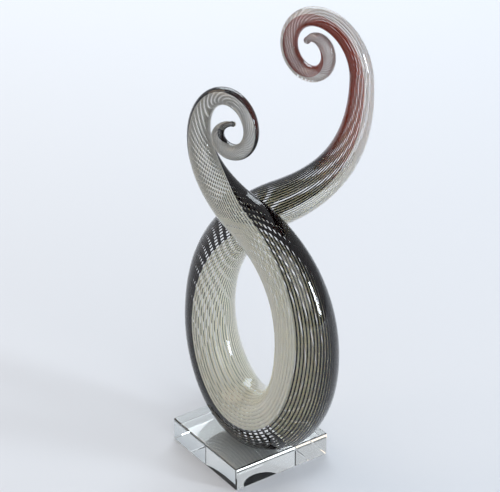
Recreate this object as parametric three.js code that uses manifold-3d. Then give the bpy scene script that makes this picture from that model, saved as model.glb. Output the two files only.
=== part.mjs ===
// Filigree glass loop sculpture on a clear glass block.
// One tapered glass rod is bent into an upright ring. Its two ends cross above the ring
// and each runs out into a tail that rolls up in a curl. A layer of dark and pale
// filigree canes lies between the clear core of the rod and its clear casing.
// Units are millimetres. The origin is the centre of the block's underside, +Z is up,
// and the ring stands in a plane parallel to XZ.

import * as THREE from 'three';
import { mergeVertices } from 'three/addons/utils/BufferGeometryUtils.js';
import Module from 'manifold-3d';

const wasm = await Module();
wasm.setup();

// Block
const BASE_SIDE = 80;
const BASE_HEIGHT = 18;
const BASE_ARRIS = 1;

// Adhesive film between the block and the ground foot of the rod
const BOND_THICKNESS = 0.4;

// Where the foot of the ring stands on the block. It is ground down into the canes, and
// this share of a cane's depth is left under the middle of the foot.
const FOOT_X = 2.8;
const FOOT_Y = -3.6;
const FOOT_RADIUS = 22;
const FOOT_CANE_REST = 0.25;

// The two ends cross here, measured from the middle of the rod at the foot
const CROSSING_REACH = 15.9;
const CROSSING_RISE = 169.3;

// Above its widest point each strand leaves the plane of the ring by this angle,
// one to the front and one to the back, which lets the strands pass each other
const SPLAY = 16;

// The front strand rises on the +X side, crosses in front and curls over on the left.
// Reach and rise are measured from the middle of the rod at the foot.
// Radii are those of the whole rod, and twists are how far the canes have wound round it,
// each at the foot, side, crossing, start of the curl, its middle, last turn, neck and tip.
// Bends are the bend radii at even turns of the curl, and drift is how far its tip comes
// forward. Fullness sets how far each span between those places holds its heading.
const FRONT_STRAND = {
  side: 1,
  sideReach: 68.6,
  sideRise: 83,
  crossingHeading: 155.7,
  curlReach: -24.6,
  curlRise: 223.1,
  curlHeading: 86.9,
  curlTurn: 436,
  curlBends: [39.1, 22.1, 18.6, 13.5, 6.1, 21.5],
  curlDrift: 7.5,
  fullness: [0.45, 0.63, 0.38, 0.38, 0.39, 0.35],
  radii: [FOOT_RADIUS, 22, 15.2, 7.9, 5.3, 4.8, 2.5, 1.5],
  twists: [0, 26, 70, 140, 95, 85, 85, 85],
  curlSteps: 17,
};

// The back strand rises on the -X side, crosses behind and curls over on the right
const BACK_STRAND = {
  side: -1,
  sideReach: 47.7,
  sideRise: 60.4,
  crossingHeading: 145.8,
  curlReach: -79.6,
  curlRise: 277.8,
  curlHeading: 87.6,
  curlTurn: 500.6,
  curlBends: [43.3, 21.9, 17.5, 19, 9.2, 8.4],
  curlDrift: 10.7,
  fullness: [0.55, 0.53, 0.4, 0.39, 0.38, 0.39],
  radii: [FOOT_RADIUS, 18.4, 15.6, 7.9, 5.9, 4.9, 3.9, 1.8],
  twists: [0, 0, 42, 65, 48, -18, -28, -30],
  curlSteps: 19,
};

const RING_STEPS = 5;
const TAIL_STEPS = 5;

// Places along a curl where its middle, last turn and neck are, as shares of its length
const CURL_MIDDLE = 0.5;
const CURL_LAST = 0.84;
const CURL_NECK = 0.94;

// Make-up of the rod as shares of its radius, which stay the same where it is drawn thin
const CASING_WALL = 0.14;
const CANE_CLEARANCE = 0.035;
const CANE_DEPTH = 0.1;
const CANES_PER_COLOUR = 12;
const DARK_CANE_COVER = 0.5;
const PALE_CANE_COVER = 0.8;
const CASING_SIDES = 16;
const CHANNEL_SIDES = 12;
const CORE_SIDES = 8;

// The core runs on past the casing as a small nub at each tip, and narrows to this share
const NUB_LENGTH = 1.2;
const NUB_SHARE = 0.5;

const BASE_GLASS = new THREE.MeshStandardMaterial({ color: 0xc9d3cf, roughness: 0.05, metalness: 0 });
const BOND_FILM = new THREE.MeshStandardMaterial({ color: 0xd8ddda, roughness: 0.2, metalness: 0 });
const CASING_GLASS = new THREE.MeshStandardMaterial({ color: 0xdfe3e4, roughness: 0.03, metalness: 0 });
const CORE_GLASS = new THREE.MeshStandardMaterial({ color: 0xcfcbc2, roughness: 0.08, metalness: 0 });
const DARK_GLASS = new THREE.MeshStandardMaterial({ color: 0x1c1216, roughness: 0.15, metalness: 0 });
const PALE_GLASS = new THREE.MeshStandardMaterial({ color: 0xe4e0d4, roughness: 0.2, metalness: 0 });

const FULL_TURN = 2 * Math.PI;
const radians = THREE.MathUtils.degToRad;

const channelShare = 1 - CASING_WALL;
const caneOuterShare = channelShare * Math.cos(Math.PI / CHANNEL_SIDES) - CANE_CLEARANCE;
const caneInnerShare = caneOuterShare - CANE_DEPTH;
const coreShare = caneInnerShare - CANE_CLEARANCE;
const footRise = FOOT_RADIUS * (caneInnerShare + FOOT_CANE_REST * CANE_DEPTH);

// Centreline

function direction(heading) {
  return new THREE.Vector2(Math.cos(radians(heading)), Math.sin(radians(heading)));
}

// A cubic span that leaves and arrives at set headings. The pulls are the lengths of its
// two handles.
function span(start, startHeading, startPull, end, endHeading, endPull, steps) {
  const curve = new THREE.CubicBezierCurve(
    start,
    start.clone().addScaledVector(direction(startHeading), startPull),
    end.clone().addScaledVector(direction(endHeading), -endPull),
    end,
  );
  return curve.getPoints(steps).slice(1);
}

// The curl turns its heading evenly while its bend radius follows the listed bends
function curl(start, strand) {
  const points = [];
  const turn = strand.curlTurn / strand.curlSteps;
  const bends = strand.curlBends;
  const at = start.clone();
  let heading = strand.curlHeading;
  for (let step = 0; step < strand.curlSteps; step += 1) {
    const place = (step + 0.5) / strand.curlSteps * (bends.length - 1);
    const before = Math.floor(place);
    const bend = THREE.MathUtils.lerp(bends[before], bends[before + 1], place - before);
    const chord = 2 * bend * Math.sin(radians(turn) / 2);
    at.addScaledVector(direction(heading - turn / 2), chord);
    heading -= turn;
    points.push(at.clone());
  }
  return points;
}

// The strand from the foot to its tip, drawn flat as if it went towards +X first
function flatStrand(strand) {
  const foot = new THREE.Vector2(0, 0);
  const side = new THREE.Vector2(strand.sideReach, strand.sideRise);
  const crossing = new THREE.Vector2(strand.side * CROSSING_REACH, CROSSING_RISE);
  const curlStart = new THREE.Vector2(strand.curlReach, strand.curlRise);
  const [footPull, sidePull, risePull, overPull, tailPull, curlPull] = strand.fullness;
  const upper = side.distanceTo(crossing);
  const tail = crossing.distanceTo(curlStart);
  return [
    foot,
    ...span(foot, 0, footPull * side.x, side, 90, sidePull * side.y, RING_STEPS),
    ...span(side, 90, risePull * upper, crossing, strand.crossingHeading, overPull * upper, RING_STEPS),
    ...span(crossing, strand.crossingHeading, tailPull * tail,
      curlStart, strand.curlHeading, curlPull * tail, TAIL_STEPS),
    ...curl(curlStart, strand),
  ];
}

// Cubic interpolation of the radius and the twist along the strand's length, and how far
// the strand has come forward out of its plane, from the start of its curl to the tip
function lengthwise(points, strand) {
  const lengths = [0];
  for (let i = 1; i < points.length; i += 1) {
    lengths.push(lengths[i - 1] + points[i].distanceTo(points[i - 1]));
  }
  const curlStart = lengths[2 * RING_STEPS + TAIL_STEPS];
  const tip = lengths[points.length - 1];
  const places = [
    0,
    lengths[RING_STEPS],
    lengths[2 * RING_STEPS],
    curlStart,
    THREE.MathUtils.lerp(curlStart, tip, CURL_MIDDLE),
    THREE.MathUtils.lerp(curlStart, tip, CURL_LAST),
    THREE.MathUtils.lerp(curlStart, tip, CURL_NECK),
    tip,
  ];
  const values = strand.radii.flatMap((radius, i) => [radius, strand.twists[i]]);
  const curve = new THREE.CubicInterpolant(places, values, 2);
  return lengths.map((length) => {
    const [radius, twist] = curve.evaluate(length);
    const drift = strand.curlDrift * THREE.MathUtils.smoothstep(length, curlStart, tip);
    return { radius, twist, drift };
  });
}

// Stations of one strand from the foot to the tip, in the frame of the foot
function strandStations(strand) {
  const flat = flatStrand(strand);
  const splay = radians(SPLAY);
  const turned = new THREE.Vector2(Math.cos(splay), Math.sin(splay));
  const sections = lengthwise(flat, strand);
  return flat.map((point, i) => {
    const past = i > RING_STEPS ? point.x - strand.sideReach : 0;
    const x = point.x - past + past * turned.x;
    const y = strand.side * past * turned.y - sections[i].drift;
    return {
      at: new THREE.Vector3(strand.side * x, y, point.y),
      radius: sections[i].radius,
      twist: -strand.side * radians(sections[i].twist),
    };
  });
}

// The whole rod from the left tip over the foot to the right tip. The outward direction
// starts at the foot, pointing down, and is carried along both ways without twisting.
function rodStations() {
  const front = strandStations(FRONT_STRAND);
  const back = strandStations(BACK_STRAND);
  const rod = [...front.slice(1).reverse(), ...back];
  const foot = front.length - 1;
  const last = rod.length - 1;
  rod.forEach((station, i) => {
    const before = rod[Math.max(i - 1, 0)].at;
    const after = rod[Math.min(i + 1, last)].at;
    station.along = after.clone().sub(before).normalize();
  });
  rod[foot].out = new THREE.Vector3(0, 0, -1);
  const carry = (from, to) => {
    const turn = new THREE.Quaternion().setFromUnitVectors(from.along, to.along);
    to.out = from.out.clone().applyQuaternion(turn);
  };
  for (let i = foot; i < last; i += 1) carry(rod[i], rod[i + 1]);
  for (let i = foot; i > 0; i -= 1) carry(rod[i], rod[i - 1]);
  rod.forEach((station) => {
    station.out.addScaledVector(station.along, -station.out.dot(station.along)).normalize();
    station.out.applyAxisAngle(station.along, station.twist);
    station.across = station.along.clone().cross(station.out);
    station.at.z += footRise;
  });
  return rod;
}

// Solids swept along the rod

// A point of a section, given as a share of the radius and an angle from outward
function sectionPoint(station, share, angle) {
  return station.at.clone()
    .addScaledVector(station.out, share * station.radius * Math.cos(angle))
    .addScaledVector(station.across, share * station.radius * Math.sin(angle));
}

function ringSection(share, sides) {
  return Array.from({ length: sides }, (_, i) => [share, FULL_TURN * i / sides]);
}

function flatten(section) {
  return section.map(([share, angle]) => new THREE.Vector2(share, 0).rotateAround(new THREE.Vector2(), angle));
}

// Sweeps a section, with an optional channel through it, along the stations
function sweep(stations, section, channel = []) {
  const points = section.length + channel.length;
  const positions = stations.flatMap((station) => (
    [...section, ...channel].flatMap(([share, angle]) => sectionPoint(station, share, angle).toArray())
  ));
  const index = [];
  const wall = (first, count, outward) => {
    for (let i = 0; i < stations.length - 1; i += 1) {
      for (let j = 0; j < count; j += 1) {
        const a = i * points + first + j;
        const b = i * points + first + (j + 1) % count;
        const corners = outward ? [a, b, b + points, a, b + points, a + points]
          : [b, a, b + points, b + points, a, a + points];
        index.push(...corners);
      }
    }
  };
  wall(0, section.length, true);
  wall(section.length, channel.length, false);
  const holes = channel.length > 0 ? [flatten(channel)] : [];
  const faces = THREE.ShapeUtils.triangulateShape(flatten(section), holes);
  const end = (stations.length - 1) * points;
  for (const [a, b, c] of faces) {
    index.push(c, b, a);
    index.push(end + a, end + b, end + c);
  }
  const geometry = new THREE.BufferGeometry();
  geometry.setAttribute('position', new THREE.Float32BufferAttribute(positions, 3));
  geometry.setIndex(index);
  return geometry;
}

// Cuts

function toManifold(geometry) {
  const bare = geometry.clone();
  bare.deleteAttribute('normal');
  bare.deleteAttribute('uv');
  const merged = mergeVertices(bare);
  return new wasm.Manifold(new wasm.Mesh({
    numProp: 3,
    vertProperties: new Float32Array(merged.attributes.position.array),
    triVerts: new Uint32Array(merged.index.array),
  }));
}

function toGeometry(manifold) {
  const mesh = manifold.getMesh();
  const geometry = new THREE.BufferGeometry();
  geometry.setAttribute('position', new THREE.BufferAttribute(mesh.vertProperties, 3));
  geometry.setIndex(new THREE.BufferAttribute(mesh.triVerts, 1));
  return geometry;
}

// A wide slab whose top is the flat of the foot
function slabUnderFoot(depth) {
  const reach = 2 * (FRONT_STRAND.sideReach + BACK_STRAND.sideReach);
  const slab = new THREE.BoxGeometry(reach, reach, depth);
  slab.translate(0, 0, -depth / 2);
  return toManifold(slab);
}

function groundFlat(geometry) {
  return toGeometry(toManifold(geometry).subtract(slabUnderFoot(FOOT_RADIUS)));
}

function named(geometry, material, name) {
  geometry.computeVertexNormals();
  const mesh = new THREE.Mesh(geometry, material);
  mesh.name = name;
  return mesh;
}

// Block with a polished arris along every edge

function baseBlock() {
  const half = BASE_SIDE / 2;
  const inner = half - BASE_ARRIS;
  const outline = new THREE.Shape([
    new THREE.Vector2(inner, -half),
    new THREE.Vector2(half, -inner),
    new THREE.Vector2(half, inner),
    new THREE.Vector2(inner, half),
    new THREE.Vector2(-inner, half),
    new THREE.Vector2(-half, inner),
    new THREE.Vector2(-half, -inner),
    new THREE.Vector2(-inner, -half),
  ]);
  const geometry = new THREE.ExtrudeGeometry(outline, {
    depth: BASE_HEIGHT - 2 * BASE_ARRIS,
    bevelEnabled: true,
    bevelThickness: BASE_ARRIS,
    bevelSize: BASE_ARRIS,
    bevelOffset: -BASE_ARRIS,
    bevelSegments: 1,
  });
  const mesh = named(geometry, BASE_GLASS, 'base_block');
  mesh.position.z = BASE_ARRIS;
  return mesh;
}

// Adhesive film, which has the outline of the rod just below the flat of the foot

function bondFilm(stations) {
  const body = sweep(stations, ringSection(1, CASING_SIDES));
  const film = toManifold(body).intersect(slabUnderFoot(BOND_THICKNESS));
  return named(toGeometry(film), BOND_FILM, 'bond_film');
}

// Clear casing with its channel, which the grinding of the foot lays open

function clearCasing(stations) {
  const body = sweep(stations, ringSection(1, CASING_SIDES), ringSection(channelShare, CHANNEL_SIDES));
  return named(groundFlat(body), CASING_GLASS, 'clear_casing');
}

// Clear core, longer than the casing by the nub at each tip

function coreRod(stations) {
  const grow = (tip, sign) => ({
    ...tip,
    at: tip.at.clone().addScaledVector(tip.along, sign * NUB_LENGTH),
    radius: tip.radius * NUB_SHARE,
  });
  const first = stations[0];
  const last = stations[stations.length - 1];
  const long = [grow(first, -1), ...stations, grow(last, 1)];
  return named(sweep(long, ringSection(coreShare, CORE_SIDES)), CORE_GLASS, 'core_rod');
}

// Filigree canes: dark ones on the outward half of the rod, pale ones on the inward half

function cane(stations, angle, cover, material, name) {
  const pitch = Math.PI / CANES_PER_COLOUR;
  const halfWidth = pitch * cover / 2;
  const section = [
    [caneInnerShare, angle],
    [caneOuterShare, angle - halfWidth],
    [caneOuterShare, angle + halfWidth],
  ];
  return named(groundFlat(sweep(stations, section)), material, name);
}

function caneLayer(stations) {
  const layer = new THREE.Group();
  const pitch = Math.PI / CANES_PER_COLOUR;
  for (let i = 0; i < CANES_PER_COLOUR; i += 1) {
    const number = String(i + 1).padStart(2, '0');
    const angle = pitch * (i + 0.5) - Math.PI / 2;
    layer.add(cane(stations, angle, DARK_CANE_COVER, DARK_GLASS, `dark_cane_${number}`));
    layer.add(cane(stations, angle + Math.PI, PALE_CANE_COVER, PALE_GLASS, `pale_cane_${number}`));
  }
  return layer;
}

// Assembly

const stations = rodStations();
const loop = new THREE.Group();
loop.add(bondFilm(stations), clearCasing(stations), coreRod(stations), caneLayer(stations));
loop.position.set(FOOT_X, FOOT_Y, BASE_HEIGHT + BOND_THICKNESS);

const group = new THREE.Group();
group.add(baseBlock(), loop);

export default group;
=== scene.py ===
"""Looks of a filigree glass loop sculpture that stands on a clear glass block.

One tapered rod of clear glass is bent into a ring. Its two ends cross above the ring and
each rolls up in a curl. Fine dark and pale threads wind round the rod under its skin.
Lengths are metres, +Z is up and the origin is the centre of the block's underside.
"""

import logging
import math
from dataclasses import dataclass, field
from enum import Enum

import bpy
from mathutils import Matrix, Quaternion, Vector
from mathutils.geometry import interpolate_bezier

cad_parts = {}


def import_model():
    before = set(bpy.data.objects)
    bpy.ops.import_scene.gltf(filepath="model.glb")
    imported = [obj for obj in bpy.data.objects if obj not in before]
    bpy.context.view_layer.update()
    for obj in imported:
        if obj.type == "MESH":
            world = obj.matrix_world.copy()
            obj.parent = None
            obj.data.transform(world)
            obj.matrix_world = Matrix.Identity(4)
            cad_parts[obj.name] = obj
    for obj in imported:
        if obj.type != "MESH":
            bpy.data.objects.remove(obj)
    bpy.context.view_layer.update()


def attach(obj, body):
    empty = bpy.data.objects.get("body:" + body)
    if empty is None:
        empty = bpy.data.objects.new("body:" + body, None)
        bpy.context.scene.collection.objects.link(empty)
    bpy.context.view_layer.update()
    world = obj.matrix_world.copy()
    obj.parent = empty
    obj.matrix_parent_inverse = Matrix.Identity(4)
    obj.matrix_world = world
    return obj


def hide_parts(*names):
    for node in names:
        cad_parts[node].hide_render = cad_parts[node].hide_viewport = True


LOG = logging.getLogger("glass_loop")
MM = 0.001
FACES_STRAIGHT = 0.99
SAME_PLACE = 0.0001 * MM
SAME_HEIGHT = 0.001 * MM


class CaneColour(Enum):
    """The two colours of filigree thread, which are also the stems of the node names."""

    DARK = "dark"
    PALE = "pale"


@dataclass(frozen=True)
class ClearGlass:
    """A clear glass, or the hidden face where two clear pieces are joined without air.

    Args:
        name: name of the material.
        tint: colour of the light that passes.
        ior: refractive index, which is 1 where light has to pass unbent.
        gloss: strength of its reflections, where 0.5 is plain glass.
    """

    name: str
    tint: tuple[float, float, float]
    ior: float = 1.5
    gloss: float = 0.5

    def material(self) -> bpy.types.Material:
        """Makes the material the first time that it is asked for.

        Returns:
            The material.
        """
        made = bpy.data.materials.get(self.name)
        if made is None:
            made, shader = principled(self.name)
            shader.inputs["Base Color"].default_value = (*self.tint, 1.0)
            shader.inputs["Transmission Weight"].default_value = 1.0
            shader.inputs["IOR"].default_value = self.ior
            shader.inputs["Roughness"].default_value = 0.0
            shader.inputs["Specular IOR Level"].default_value = self.gloss
        return made


@dataclass(frozen=True)
class ThreadGlass:
    """Coloured filigree glass, which shows more of its own colour where it is drawn thin.

    Args:
        name: name of the material.
        thick: colour in the ring and the left curl.
        thin: colour in the right curl, which is drawn out the most.
        unevenness: share by which the colour varies along a thread.
        glow: share of the light that soaks through the glass.
        glow_depth: how far that light travels in the glass.
        glow_reach: how far red, green and blue of it travel, as shares of that depth.
        blend_from: place where the colour starts to turn, along a slant to the right curl.
        blend_to: place where it has turned.
        slant: direction of the slant.
        cloud_scale: clouds of uneven colour to a metre.
        roughness: roughness of the thread's surface.
    """

    name: str
    thick: tuple[float, float, float]
    thin: tuple[float, float, float]
    unevenness: float
    glow: float = 0.0
    glow_depth: float = 1.0 * MM
    glow_reach: tuple[float, float, float] = (1.0, 0.95, 0.85)
    blend_from: float = 185 * MM
    blend_to: float = 228 * MM
    slant: tuple[float, float, float] = (0.8, 0.0, 0.6)
    cloud_scale: float = 140.0
    roughness: float = 0.4

    def material(self) -> bpy.types.Material:
        """Makes the material the first time that it is asked for.

        Returns:
            The material.
        """
        made = bpy.data.materials.get(self.name)
        if made is not None:
            return made
        made, shader = principled(self.name)
        nodes, links = made.node_tree.nodes, made.node_tree.links
        place = nodes.new("ShaderNodeTexCoord")
        reach = nodes.new("ShaderNodeVectorMath")
        reach.operation = "DOT_PRODUCT"
        reach.inputs[1].default_value = self.slant
        links.new(place.outputs["Object"], reach.inputs[0])
        turn = nodes.new("ShaderNodeMapRange")
        turn.inputs["From Min"].default_value = self.blend_from
        turn.inputs["From Max"].default_value = self.blend_to
        links.new(reach.outputs["Value"], turn.inputs["Value"])
        colour = nodes.new("ShaderNodeMix")
        colour.data_type = "RGBA"
        colour.inputs["A"].default_value = (*self.thick, 1.0)
        colour.inputs["B"].default_value = (*self.thin, 1.0)
        links.new(turn.outputs["Result"], colour.inputs["Factor"])
        cloud = nodes.new("ShaderNodeTexNoise")
        cloud.inputs["Scale"].default_value = self.cloud_scale
        links.new(place.outputs["Object"], cloud.inputs["Vector"])
        strength = nodes.new("ShaderNodeMapRange")
        strength.inputs["To Min"].default_value = 1.0 - self.unevenness
        strength.inputs["To Max"].default_value = 1.0 + self.unevenness
        links.new(cloud.outputs["Fac"], strength.inputs["Value"])
        shade = nodes.new("ShaderNodeVectorMath")
        shade.operation = "SCALE"
        links.new(colour.outputs["Result"], shade.inputs[0])
        links.new(strength.outputs["Result"], shade.inputs["Scale"])
        links.new(shade.outputs["Vector"], shader.inputs["Base Color"])
        shader.inputs["Roughness"].default_value = self.roughness
        shader.inputs["Specular IOR Level"].default_value = 0.0
        shader.inputs["Subsurface Weight"].default_value = self.glow
        shader.inputs["Subsurface Radius"].default_value = self.glow_reach
        shader.inputs["Subsurface Scale"].default_value = self.glow_depth
        return made


BLOCK_GLASS = ClearGlass("polished_block_glass", (0.925, 0.94, 0.92), 1.565, 0.35)
CASING_GLASS = ClearGlass("fire_polished_casing_glass", (0.99, 0.99, 0.985), 1.5, 0.13)
CORE_GLASS = ClearGlass("fused_core_glass", (0.985, 0.98, 0.97), 1.0)
ADHESIVE = ClearGlass("cured_adhesive", (0.99, 0.99, 0.985), 1.5)
JOINED_FACE = ClearGlass("face_joined_without_air", (1.0, 1.0, 1.0), 1.0)
DARK_THREAD = ThreadGlass(
    "amethyst_thread_glass", (0.009, 0.004, 0.004), (0.42, 0.08, 0.045), unevenness=0.25
)
PALE_THREAD = ThreadGlass(
    "cream_thread_glass", (0.985, 0.92, 0.77), (0.97, 0.89, 0.82), unevenness=0.03, glow=0.9
)


def principled(name: str) -> tuple[bpy.types.Material, bpy.types.Node]:
    """Makes a node material that holds one Principled shader.

    Args:
        name: name of the material.

    Returns:
        The material and its shader node.
    """
    made = bpy.data.materials.new(name)
    made.use_nodes = True
    return made, made.node_tree.nodes["Principled BSDF"]


def deselect() -> None:
    """Deselects everything in object mode."""
    bpy.ops.object.select_all(action="DESELECT")


def pick(piece: bpy.types.Object) -> None:
    """Makes a piece the only selected object and the active one.

    Args:
        piece: the piece.
    """
    deselect()
    piece.select_set(True)
    bpy.context.view_layer.objects.active = piece


@dataclass
class Station:
    """One place along the rod's centreline, with the directions of its section.

    Args:
        at: the place.
        radius: radius of the rod there.
        twist: angle by which the filigree has wound round the rod there.
        along: direction of the centreline.
        out: direction of the middle of the dark canes.
    """

    at: Vector
    radius: float
    twist: float
    along: Vector = field(default_factory=Vector)
    out: Vector = field(default_factory=Vector)

    def point(self, share: float, angle: float) -> Vector:
        """Finds a point of the section.

        Args:
            share: distance from the centreline as a share of the rod's radius.
            angle: angle round the rod from its outward side.

        Returns:
            The point.
        """
        across = self.along.cross(self.out)
        reach = share * self.radius
        return self.at + self.out * (reach * math.cos(angle)) + across * (reach * math.sin(angle))


def direction(heading: float) -> Vector:
    """Returns the flat unit vector at a heading in degrees."""
    return Vector((math.cos(math.radians(heading)), math.sin(math.radians(heading))))


def span(start: Vector, leave: Vector, end: Vector, arrive: Vector, steps: int) -> list[Vector]:
    """Draws a cubic span between two places.

    Args:
        start: where it starts.
        leave: handle at the start, as an offset.
        end: where it ends.
        arrive: handle at the end, as an offset that points onwards.
        steps: number of steps.

    Returns:
        The points after the start.
    """
    return interpolate_bezier(start, start + leave, end - arrive, end, steps + 1)[1:]


def smooth_through(places: list[float], values: list[float], at: float) -> float:
    """Reads a smooth curve through given values.

    Args:
        places: where the values hold, in rising order.
        values: the values.
        at: where to read the curve.

    Returns:
        The value there.
    """
    last = len(places) - 2
    index = max(i for i in range(last + 1) if i == 0 or places[i] <= at)
    slopes = [(values[i + 1] - values[i]) / (places[i + 1] - places[i]) for i in range(last + 1)]
    width = places[index + 1] - places[index]
    leave = (slopes[max(index - 1, 0)] + slopes[index]) / 2
    arrive = (slopes[index] + slopes[min(index + 1, last)]) / 2
    share = (at - places[index]) / width
    rise = values[index + 1] - values[index]
    bend = (leave * width - rise) * (1 - share) + (rise - arrive * width) * share
    return values[index] + share * rise + share * (1 - share) * bend


@dataclass(frozen=True)
class Strand:
    """One half of the rod, from the foot to its tip, drawn flat as if it went to +X first.

    Reach and rise are measured from the middle of the rod at the foot. Radii and twists
    hold at the foot, side, crossing, start of the curl, its middle, last turn, neck and tip.
    The drift is how far the tip comes forward, and the nub is the bead that ends the rod.
    """

    side: int
    side_reach: float
    side_rise: float
    crossing_heading: float
    curl_reach: float
    curl_rise: float
    curl_heading: float
    curl_turn: float
    curl_bends: tuple[float, ...]
    curl_drift: float
    nub: float
    fullness: tuple[float, ...]
    radii: tuple[float, ...]
    twists: tuple[float, ...]

    def curl(self, start: Vector, steps: int) -> list[Vector]:
        """Rolls up the curl.

        Args:
            start: where it starts.
            steps: number of steps.

        Returns:
            The points after the start.
        """
        points = []
        turn = self.curl_turn / steps
        at, heading = start.copy(), self.curl_heading
        for step in range(steps):
            place = (step + 0.5) / steps * (len(self.curl_bends) - 1)
            before = int(place)
            share = place - before
            bend = self.curl_bends[before] * (1 - share) + self.curl_bends[before + 1] * share
            chord = 2 * bend * math.sin(math.radians(turn) / 2)
            at = at + direction(heading - turn / 2) * chord
            heading -= turn
            points.append(at)
        return points


@dataclass
class RodPlan:
    """Centreline, thickness and twist of the whole rod."""

    foot: Vector = field(default_factory=lambda: Vector((2.8, -3.6, 18.4)) * MM)
    foot_rise: float = 15.86 * MM
    crossing_reach: float = 15.9 * MM
    crossing_rise: float = 169.3 * MM
    splay: float = 16.0
    curl_middle: float = 0.5
    curl_last: float = 0.84
    curl_neck: float = 0.94
    ring_steps: int = 44
    tail_steps: int = 32
    curl_step_angle: float = 4.0
    front: Strand = Strand(
        side=1,
        side_reach=68.6 * MM,
        side_rise=83 * MM,
        crossing_heading=155.7,
        curl_reach=-24.6 * MM,
        curl_rise=223.1 * MM,
        curl_heading=86.9,
        curl_turn=436,
        curl_bends=(39.1 * MM, 22.1 * MM, 18.6 * MM, 13.5 * MM, 6.1 * MM, 21.5 * MM),
        curl_drift=7.5 * MM,
        nub=1.9 * MM,
        fullness=(0.45, 0.63, 0.38, 0.38, 0.39, 0.35),
        radii=(22 * MM, 22 * MM, 15.2 * MM, 7.9 * MM, 5.3 * MM, 4.8 * MM, 2.5 * MM, 1.5 * MM),
        twists=(0, 26, 70, 162, 116, 60, -40, -110),
    )
    back: Strand = Strand(
        side=-1,
        side_reach=47.7 * MM,
        side_rise=60.4 * MM,
        crossing_heading=145.8,
        curl_reach=-79.6 * MM,
        curl_rise=277.8 * MM,
        curl_heading=87.6,
        curl_turn=500.6,
        curl_bends=(43.3 * MM, 21.9 * MM, 17.5 * MM, 19 * MM, 9.2 * MM, 8.4 * MM),
        curl_drift=10.7 * MM,
        nub=2.4 * MM,
        fullness=(0.55, 0.53, 0.4, 0.39, 0.38, 0.39),
        radii=(22 * MM, 18.4 * MM, 15.6 * MM, 7.9 * MM, 5.9 * MM, 4.9 * MM, 3.9 * MM, 1.8 * MM),
        twists=(0, 0, 42, 65, 48, 30, -12, -40),
    )

    def flat(self, strand: Strand) -> list[Vector]:
        """Draws a strand's centreline in its own flat plane.

        Args:
            strand: the strand.

        Returns:
            The points from the foot to the tip.
        """
        foot = Vector((0.0, 0.0))
        side = Vector((strand.side_reach, strand.side_rise))
        crossing = Vector((strand.side * self.crossing_reach, self.crossing_rise))
        curl_start = Vector((strand.curl_reach, strand.curl_rise))
        pulls = strand.fullness
        upper = (crossing - side).length
        tail = (curl_start - crossing).length
        over = direction(strand.crossing_heading)
        roll = direction(strand.curl_heading)
        ahead, up = direction(0), direction(90)
        ring, curl = self.ring_steps, round(strand.curl_turn / self.curl_step_angle)
        rest = self.tail_steps
        return [
            foot,
            *span(foot, ahead * pulls[0] * side.x, side, up * pulls[1] * side.y, ring),
            *span(side, up * pulls[2] * upper, crossing, over * pulls[3] * upper, ring),
            *span(crossing, over * pulls[4] * tail, curl_start, roll * pulls[5] * tail, rest),
            *strand.curl(curl_start, curl),
        ]

    def strand_stations(self, strand: Strand) -> list[Station]:
        """Places a strand's stations in space.

        Args:
            strand: the strand.

        Returns:
            Its stations, measured from the middle of the foot.
        """
        flat = self.flat(strand)
        lengths = [0.0]
        for before, after in zip(flat, flat[1:]):
            lengths.append(lengths[-1] + (after - before).length)
        start, tip = lengths[2 * self.ring_steps + self.tail_steps], lengths[-1]
        places = [0.0, lengths[self.ring_steps], lengths[2 * self.ring_steps], start]
        curl_places = (self.curl_middle, self.curl_last, self.curl_neck, 1.0)
        places += [start + (tip - start) * share for share in curl_places]
        stations = []
        for i, (point, length) in enumerate(zip(flat, lengths)):
            past = point.x - strand.side_reach if i > self.ring_steps else 0.0
            x = point.x - past + past * math.cos(math.radians(self.splay))
            gone = min(max((length - start) / (tip - start), 0.0), 1.0)
            drift = strand.curl_drift * gone * gone * (3 - 2 * gone)
            y = strand.side * past * math.sin(math.radians(self.splay)) - drift
            bead = math.sqrt(max(strand.nub**2 - (tip - length) ** 2, 0.0))
            radius = max(smooth_through(places, strand.radii, length), bead)
            twist = smooth_through(places, strand.twists, length)
            at = Vector((strand.side * x, y, point.y))
            stations.append(Station(at, radius, -strand.side * math.radians(twist)))
        return stations

    def stations(self) -> list[Station]:
        """Lays the whole rod from the left tip over the foot to the right tip.

        Returns:
            The stations, with the outward direction carried along from the foot.
        """
        front, back = self.strand_stations(self.front), self.strand_stations(self.back)
        rod = [*reversed(front[1:]), *back]
        foot, last = len(front) - 1, len(front) + len(back) - 2
        for i, station in enumerate(rod):
            station.along = (rod[min(i + 1, last)].at - rod[max(i - 1, 0)].at).normalized()
        rod[foot].out = Vector((0, 0, -1))
        for i in range(foot, last):
            self.carry(rod[i], rod[i + 1])
        for i in range(foot, 0, -1):
            self.carry(rod[i], rod[i - 1])
        lift = Vector((0, 0, self.foot_rise))
        for station in rod:
            station.out = Quaternion(station.along, station.twist) @ station.out
            station.at = station.at + lift + self.foot
        return rod

    @staticmethod
    def carry(start: Station, end: Station) -> None:
        """Carries the outward direction from one station to the next without twisting it."""
        end.out = start.along.rotation_difference(end.along) @ start.out
        end.out = (end.out - end.along * end.out.dot(end.along)).normalized()


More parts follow.
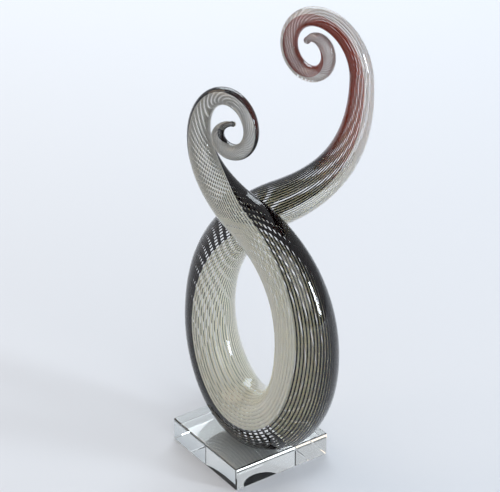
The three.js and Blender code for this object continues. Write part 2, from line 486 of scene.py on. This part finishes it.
def tube(name: str, runs: list[list[tuple[Vector, float]]], sides: int) -> bpy.types.Object:
    """Draws glass rods as bevelled curves and turns them into one mesh.

    Args:
        name: name of the piece.
        runs: for each rod, its centreline points, each with the rod's radius there.
        sides: number of sides round each rod, which is even.

    Returns:
        The piece, with its ends closed and its faces pointing outwards.
    """
    curve = bpy.data.curves.new(name, "CURVE")
    curve.dimensions = "3D"
    curve.bevel_depth = 1.0
    curve.bevel_resolution = sides // 2 - 2
    curve.use_fill_caps = True
    for run in runs:
        spline = curve.splines.new("POLY")
        spline.points.add(len(run) - 1)
        for point, (place, radius) in zip(spline.points, run):
            point.co = (*place, 1.0)
            point.radius = radius
    piece = bpy.data.objects.new(name, curve)
    bpy.context.scene.collection.objects.link(piece)
    pick(piece)
    bpy.ops.object.convert(target="MESH")
    bpy.ops.object.mode_set(mode="EDIT")
    bpy.ops.mesh.select_all(action="SELECT")
    bpy.ops.mesh.remove_doubles(threshold=SAME_PLACE)
    bpy.ops.mesh.normals_make_consistent(inside=False)
    bpy.ops.object.mode_set(mode="OBJECT")
    bpy.ops.object.shade_smooth()
    return piece


def swept(name: str, runs: list[list[list[Vector]]]) -> bpy.types.Object:
    """Joins rings of points into closed rods, for sections that a curve can't keep upright.

    Args:
        name: name of the piece.
        runs: for each rod, its rings from end to end, with as many points in each ring.

    Returns:
        The piece, with its faces pointing outwards.
    """
    points, faces = [], []
    for rings in runs:
        first, sides = len(points), len(rings[0])
        for ring in rings:
            points.extend(ring)
        for row in range(len(rings) - 1):
            base = first + row * sides
            for i in range(sides):
                j = (i + 1) % sides
                faces.append((base + i, base + j, base + sides + j, base + sides + i))
        faces.append(tuple(range(first + sides - 1, first - 1, -1)))
        faces.append(tuple(range(len(points) - sides, len(points))))
    mesh = bpy.data.meshes.new(name)
    mesh.from_pydata(points, [], faces)
    piece = bpy.data.objects.new(name, mesh)
    bpy.context.scene.collection.objects.link(piece)
    pick(piece)
    bpy.ops.object.mode_set(mode="EDIT")
    bpy.ops.mesh.select_all(action="SELECT")
    bpy.ops.mesh.normals_make_consistent(inside=False)
    bpy.ops.object.mode_set(mode="OBJECT")
    bpy.ops.object.shade_smooth()
    return piece


def ground_flat(piece: bpy.types.Object, height: float) -> list[Vector]:
    """Grinds a piece flat at a height and takes away what lies below.

    Args:
        piece: the piece, which becomes the active object.
        height: height of the flat.

    Returns:
        The outline of its largest flat face there, which is empty where there is none.
    """
    pick(piece)
    bpy.ops.object.mode_set(mode="EDIT")
    bpy.ops.mesh.select_all(action="SELECT")
    ground = Vector((0, 0, height))
    upwards = Vector((0, 0, 1))
    bpy.ops.mesh.bisect(plane_co=ground, plane_no=upwards, use_fill=True, clear_inner=True)
    bpy.ops.object.mode_set(mode="OBJECT")
    flats = [face for face in piece.data.polygons if abs(face.center.z - height) < SAME_HEIGHT]
    if not flats:
        return []
    largest = max(flats, key=lambda face: face.area)
    return [piece.data.vertices[index].co.copy() for index in largest.vertices]


def finish(piece: bpy.types.Object, slot: str, node: str) -> None:
    """Makes a piece ride with the object, and hides the solid that it takes the place of.

    Args:
        piece: the piece.
        slot: name of its finish; not used.
        node: name of the solid that it takes the place of.
    """
    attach(piece, "root")
    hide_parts(node)
    LOG.info("%s: %d faces", piece.name, len(piece.data.polygons))


@dataclass(frozen=True)
class ThreadLayer:
    """One colour of thread in the filigree layer.

    Args:
        threads: number of threads in each cane.
        half_width: half the width of a thread round the rod, as a share of the rod's radius.
        drawn_half_width: the same where the rod is drawn out to nothing.
        draw_power: how fast the width turns from one to the other as the rod gets thinner.
        half_depth: half its depth into the rod, as a share of the rod's radius.
        middle: angle of the layer's middle from the rod's outward side.
        finish: its glass.
    """

    threads: int
    half_width: float
    drawn_half_width: float
    draw_power: float
    half_depth: float
    middle: float
    finish: ThreadGlass


@dataclass
class FiligreeRod:
    """The bent rod: a clear skin over the threads, and the core that they lie on.

    Shares are of the rod's radius. The ground gap keeps the threads clear of the ground face.
    """

    stations: list[Station]
    ground_height: float = 18.4 * MM
    ground_gap: float = 0.03 * MM
    casing_sides: int = 64
    core_share: float = 0.66
    core_sides: int = 24
    thread_share: float = 0.755
    thread_sides: int = 8
    canes: int = 12
    end_steps: int = 8
    sharp_edge: float = 30.0
    layers: dict[CaneColour, ThreadLayer] = field(
        default_factory=lambda: {
            CaneColour.DARK: ThreadLayer(2, 0.021, 0.038, 1.0, 0.054, 0.0, DARK_THREAD),
            CaneColour.PALE: ThreadLayer(2, 0.048, 0.03, 3.0, 0.02, math.pi, PALE_THREAD),
        }
    )

    def rounded(self, share: float) -> list[Station]:
        """Carries the stations on over a round end at each tip.

        Args:
            share: radius of the ends as a share of the whole rod's.

        Returns:
            Stations from the left end to the right end.
        """
        ends = []
        for tip, sign in ((self.stations[0], -1), (self.stations[-1], 1)):
            angles = [math.pi / 2 * step / self.end_steps for step in range(1, self.end_steps)]
            ends.append([
                Station(
                    tip.at + tip.along * (sign * tip.radius * share * math.sin(angle)),
                    tip.radius * math.cos(angle),
                    tip.twist,
                    tip.along,
                    tip.out,
                )
                for angle in angles
            ])
        return [*reversed(ends[0]), *self.stations, *ends[1]]

    def casing(self) -> list[Vector]:
        """Draws the skin of the rod and grinds its foot flat.

        Returns:
            The outline of the ground face.
        """
        run = [(station.at, station.radius) for station in self.rounded(1.0)]
        piece = tube("clear_casing_glass", [run], self.casing_sides)
        outline = ground_flat(piece, self.ground_height)
        piece.data.materials.append(CASING_GLASS.material())
        piece.data.materials.append(JOINED_FACE.material())
        for face in piece.data.polygons:
            if len(face.vertices) > 4 and face.normal.z < -FACES_STRAIGHT:
                face.material_index = 1
        bpy.ops.object.shade_smooth_by_angle(angle=math.radians(self.sharp_edge))
        finish(piece, "casing_glass", "clear_casing")
        return outline

    def core(self) -> None:
        """Draws the clear core that the threads lie on."""
        share = self.core_share
        run = [(station.at, station.radius * share) for station in self.rounded(share)]
        piece = tube("core_glass", [run], self.core_sides)
        piece.data.materials.append(CORE_GLASS.material())
        finish(piece, "core_glass", "core_rod")

    def thread(
        self, stations: list[Station], layer: ThreadLayer, angle: float
    ) -> list[list[Vector]]:
        """Draws one thread.

        Args:
            stations: the places that it runs through.
            layer: sizes of the thread.
            angle: its angle round the rod from the outward side.

        Returns:
            Its rings of points.
        """
        section = []
        for step in range(self.thread_sides):
            turn = math.tau * step / self.thread_sides
            share = self.thread_share + layer.half_depth * math.cos(turn)
            section.append((share, math.sin(turn) / self.thread_share))
        thickest = max(station.radius for station in stations)
        rings = []
        for station in stations:
            full = (station.radius / thickest) ** layer.draw_power
            width = layer.half_width * full + layer.drawn_half_width * (1 - full)
            ring = [station.point(share, angle + around * width) for share, around in section]
            rings.append(ring)
        return rings

    def cane(self, colour: CaneColour, number: int, stations: list[Station]) -> None:
        """Draws one cane, which is a band of fine threads.

        Args:
            colour: colour of its threads.
            number: its place in the row of canes of that colour, from 0.
            stations: the places that it runs through.
        """
        layer = self.layers[colour]
        pitch = math.pi / (self.canes * layer.threads)
        first = layer.middle - math.pi / 2 + pitch * (number * layer.threads + 0.5)
        angles = [first + pitch * step for step in range(layer.threads)]
        runs = [self.thread(stations, layer, angle) for angle in angles]
        piece = swept(f"{colour.value}_threads_{number + 1:02d}", runs)
        ground_flat(piece, self.ground_height + self.ground_gap)
        piece.data.materials.append(layer.finish.material())
        finish(piece, f"{colour.value}_glass", f"{colour.value}_cane_{number + 1:02d}")

    def build(self) -> list[Vector]:
        """Builds the skin, the core and every cane.

        Returns:
            The outline of the ground foot.
        """
        outline = self.casing()
        self.core()
        stations = self.rounded(self.thread_share)
        for colour in CaneColour:
            for number in range(self.canes):
                self.cane(colour, number, stations)
        return outline


@dataclass
class Block:
    """The clear block that the rod is joined to.

    Args:
        joint: outline of the ground foot of the rod.
    """

    joint: list[Vector]
    side: float = 80 * MM
    height: float = 18 * MM
    arris: float = 0.8 * MM
    arris_segments: int = 2
    film: float = 0.4 * MM

    def joint_face(self, name: str) -> bpy.types.Object:
        """Draws the outline of the joint as one face on the block's top.

        Args:
            name: name of the piece.

        Returns:
            The piece, which is the active object.
        """
        mesh = bpy.data.meshes.new(name)
        points = [(point.x, point.y, self.height) for point in self.joint]
        mesh.from_pydata(points, [], [tuple(range(len(points)))])
        piece = bpy.data.objects.new(name, mesh)
        bpy.context.scene.collection.objects.link(piece)
        pick(piece)
        return piece

    def glass(self) -> None:
        """Makes the polished block, with the face where the rod is joined to it."""
        deselect()
        bpy.ops.mesh.primitive_cube_add(size=1, location=(0, 0, self.height / 2))
        piece = bpy.context.active_object
        piece.name = "polished_block"
        piece.scale = (self.side, self.side, self.height)
        bpy.ops.object.transform_apply(location=True, rotation=True, scale=True)
        bpy.ops.object.mode_set(mode="EDIT")
        bpy.ops.mesh.select_all(action="SELECT")
        bpy.ops.mesh.bevel(offset=self.arris, segments=self.arris_segments, affect="EDGES")
        bpy.ops.object.mode_set(mode="OBJECT")
        self.open_joint(piece)
        piece.data.materials.append(BLOCK_GLASS.material())
        piece.data.materials.append(JOINED_FACE.material())
        finish(piece, "block_glass", "base_block")

    def open_joint(self, piece: bpy.types.Object) -> None:
        """Divides the block's top face round the outline of the joint.

        Args:
            piece: the block.
        """
        top = max(piece.data.polygons, key=lambda face: face.center.z)
        for part in (piece.data.polygons, piece.data.edges, piece.data.vertices):
            for item in part:
                item.select = False
        top.select = True
        bpy.ops.object.mode_set(mode="EDIT")
        bpy.ops.mesh.select_mode(type="FACE")
        bpy.ops.mesh.delete(type="ONLY_FACE")
        bpy.ops.object.mode_set(mode="OBJECT")
        patch = self.joint_face("joint_patch")
        patch.data.polygons[0].material_index = 1
        pick(piece)
        patch.select_set(True)
        bpy.ops.object.join()
        bpy.ops.object.mode_set(mode="EDIT")
        bpy.ops.mesh.select_mode(type="EDGE")
        bpy.ops.mesh.select_all(action="DESELECT")
        bpy.ops.mesh.select_non_manifold()
        bpy.ops.mesh.fill(use_beauty=True)
        bpy.ops.mesh.select_all(action="SELECT")
        bpy.ops.mesh.normals_make_consistent(inside=False)
        bpy.ops.object.mode_set(mode="OBJECT")

    def adhesive(self) -> None:
        """Makes the thin film of adhesive between the block and the foot of the rod."""
        piece = self.joint_face("adhesive_film")
        bpy.ops.object.mode_set(mode="EDIT")
        bpy.ops.mesh.select_all(action="SELECT")
        rise = {"value": (0, 0, self.film)}
        bpy.ops.mesh.extrude_region_move(TRANSFORM_OT_translate=rise)
        bpy.ops.mesh.select_all(action="SELECT")
        bpy.ops.mesh.normals_make_consistent(inside=False)
        bpy.ops.object.mode_set(mode="OBJECT")
        piece.data.materials.append(ADHESIVE.material())
        piece.data.materials.append(JOINED_FACE.material())
        for face in piece.data.polygons:
            if abs(face.normal.z) > FACES_STRAIGHT:
                face.material_index = 1
        finish(piece, "bond", "bond_film")

    def build(self) -> None:
        """Builds the block and the film."""
        self.glass()
        self.adhesive()


@dataclass
class Lamp:
    """One soft rectangular lamp that is aimed at the sculpture.

    Args:
        name: name of the lamp.
        bearing: its bearing, where 0 is the side that the ring is seen face-on from.
        height: its angle above the floor.
        distance: its distance from the sculpture.
        width: its size from side to side.
        length: its size from top to bottom.
        power: its power in watts.
        colour: colour of its light.
    """

    name: str
    bearing: float
    height: float
    distance: float
    width: float
    length: float
    power: float
    colour: tuple[float, float, float] = (1.0, 1.0, 1.0)

    def build(self, target: Vector) -> None:
        """Hangs the lamp.

        Args:
            target: the point that it is aimed at.
        """
        data = bpy.data.lights.new(self.name, "AREA")
        data.shape = "RECTANGLE"
        data.size = self.width
        data.size_y = self.length
        data.energy = self.power
        data.color = self.colour
        lamp = bpy.data.objects.new(self.name, data)
        flat, up = math.radians(self.bearing), math.radians(self.height)
        level = math.cos(up)
        toward = Vector((math.sin(flat) * level, -math.cos(flat) * level, math.sin(up)))
        lamp.location = target + toward * self.distance
        lamp.rotation_euler = toward.to_track_quat("Z", "Y").to_euler()
        bpy.context.scene.collection.objects.link(lamp)


@dataclass
class Studio:
    """Floor, light and camera."""

    floor_side: float = 12.0
    floor_drop: float = 0.2 * MM
    floor_roughness: float = 0.8
    floor_gloss: float = 0.1
    floor_colour: tuple[float, float, float] = (0.69, 0.71, 0.745)
    sky_colour: tuple[float, float, float] = (0.90, 0.94, 1.0)
    sky_strength: float = 0.5
    aim: Vector = field(default_factory=lambda: Vector((0.0, 0.0, 0.15)))
    camera_bearing: float = 54.78
    camera_height: float = 28.86
    camera_roll: float = 0.15
    camera_distance: float = 1450 * MM
    camera_across: float = 0.1 * MM
    camera_up: float = 130.1 * MM
    focal_pixels: float = 2000.0
    frame_pixels: float = 500.0
    sight: float = 50.0
    glass_bounces: int = 40
    clear_bounces: int = 16
    lamps: tuple[Lamp, ...] = (
        Lamp("window", 122, 12, 2.0, 0.3, 0.8, 23.0, (0.88, 0.94, 1.0)),
        Lamp("soft_window", 78, 26, 2.0, 1.4, 1.4, 12.0, (0.96, 0.96, 0.98)),
        Lamp("pale_wall", -127, 34, 1.9, 1.6, 1.0, 22.0, (0.87, 0.94, 1.0)),
        Lamp("wooden_shelf", -53, 35, 1.8, 1.8, 1.2, 10.0, (1.0, 0.8, 0.6)),
    )

    def camera(self, base: Vector) -> None:
        """Places the camera at the photograph's viewing angle.

        Args:
            base: centre of the block's top, which the distances are measured from.
        """
        data = bpy.data.cameras.new("camera")
        data.lens = self.focal_pixels / self.frame_pixels * data.sensor_width
        data.clip_end = self.sight
        camera = bpy.data.objects.new("camera", data)
        turn = (
            Matrix.Rotation(math.radians(self.camera_bearing), 4, "Z")
            @ Matrix.Rotation(math.radians(90 - self.camera_height), 4, "X")
            @ Matrix.Rotation(math.radians(self.camera_roll), 4, "Z")
        )
        offset = Vector((self.camera_across, self.camera_up, self.camera_distance))
        camera.matrix_world = Matrix.Translation(base + turn.to_3x3() @ offset) @ turn
        bpy.context.scene.collection.objects.link(camera)
        bpy.context.scene.camera = camera

    def floor(self) -> None:
        """Lays the pale floor."""
        deselect()
        bpy.ops.mesh.primitive_plane_add(size=self.floor_side, location=(0, 0, -self.floor_drop))
        floor = bpy.context.active_object
        floor.name = "floor"
        paint, shader = principled("pale_floor")
        shader.inputs["Base Color"].default_value = (*self.floor_colour, 1.0)
        shader.inputs["Roughness"].default_value = self.floor_roughness
        shader.inputs["Specular IOR Level"].default_value = self.floor_gloss
        floor.data.materials.append(paint)

    def sky(self) -> None:
        """Surrounds the scene with even pale light."""
        world = bpy.data.worlds.new("pale_room")
        world.use_nodes = True
        background = world.node_tree.nodes["Background"]
        background.inputs["Color"].default_value = (*self.sky_colour, 1.0)
        background.inputs["Strength"].default_value = self.sky_strength
        bpy.context.scene.world = world

    def build(self, base: Vector) -> None:
        """Builds floor, light and camera.

        Args:
            base: centre of the block's top.
        """
        scene = bpy.context.scene
        scene.view_settings.view_transform = "Standard"
        scene.cycles.max_bounces = self.glass_bounces
        scene.cycles.transmission_bounces = self.glass_bounces
        scene.cycles.transparent_max_bounces = self.clear_bounces
        self.camera(base)
        self.floor()
        self.sky()
        for lamp in self.lamps:
            lamp.build(self.aim)


def main() -> None:
    """Builds the sculpture and its studio."""
    logging.basicConfig(level=logging.INFO, format="%(message)s")
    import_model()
    block = Block(FiligreeRod(RodPlan().stations()).build())
    block.build()
    Studio().build(Vector((0, 0, block.height)))


if __name__ == "__main__":
    main()
